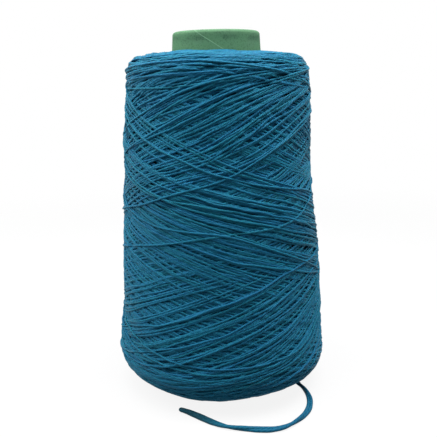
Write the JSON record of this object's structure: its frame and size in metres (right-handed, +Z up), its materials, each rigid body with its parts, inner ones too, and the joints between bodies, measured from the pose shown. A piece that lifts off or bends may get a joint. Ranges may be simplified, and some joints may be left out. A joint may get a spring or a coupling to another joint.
{
  "type": "cone of yarn",
  "caption": "Cross-wound package of knitting yarn on a tapered paperboard cone with a turned-in rounded nose, its loose end lying in front.",
  "frame": {"origin": "centre of the cone's base ring, on the surface that the cone stands on", "axes": "+Z up the cone's axis to its nose, -Y towards the viewer of the picture, +X to the viewer's right"},
  "size_m": [0.0988, 0.107, 0.168],
  "materials": {
    "green_paperboard": "matte dyed paperboard",
    "yarn": "plied, slightly fuzzy yarn"
  },
  "bodies": {
    "root": {"paper_cone": "green_paperboard", "wound_yarn": "yarn", "outer_winding": "yarn", "yarn_tail": "yarn"}
  },
  "joints": []
}
